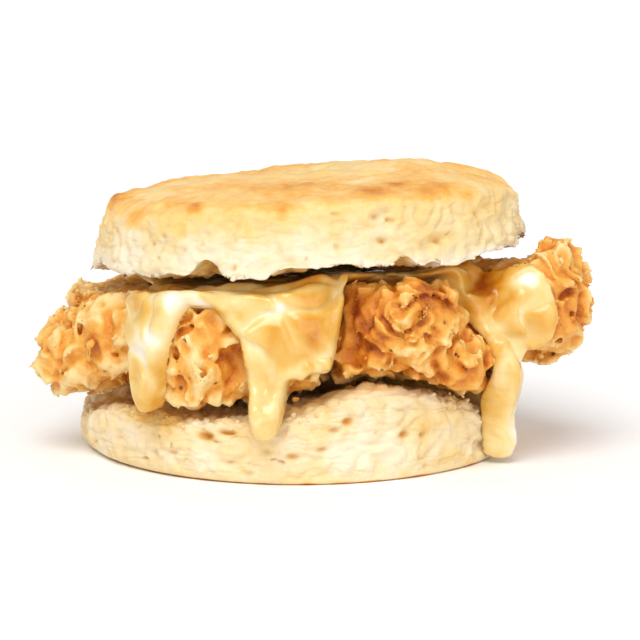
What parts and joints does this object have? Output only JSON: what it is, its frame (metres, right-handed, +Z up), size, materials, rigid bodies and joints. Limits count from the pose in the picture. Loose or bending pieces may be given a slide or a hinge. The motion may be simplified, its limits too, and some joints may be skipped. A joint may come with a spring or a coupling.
{
  "type": "chicken biscuit",
  "caption": "Split soft biscuit stacked around craggy fried chicken pieces that stick out at both sides, with a glossy sauce running down the front.",
  "frame": {"origin": "middle of the lower half's flat underside, where it rests", "axes": "+X to the right of someone facing the sauced front, +Y away from them, +Z up"},
  "size_m": [0.1213, 0.1006, 0.0621],
  "materials": {
    "biscuit_crumb": "matte",
    "biscuit_crust": "matte",
    "fried_coating": "satin",
    "sauce": "gloss"
  },
  "bodies": {
    "root": {"biscuit_lower": "biscuit_crumb", "chicken_left": "fried_coating", "chicken_right": "fried_coating", "honey_butter_sauce": "sauce", "biscuit_upper": "biscuit_crust"}
  },
  "joints": []
}
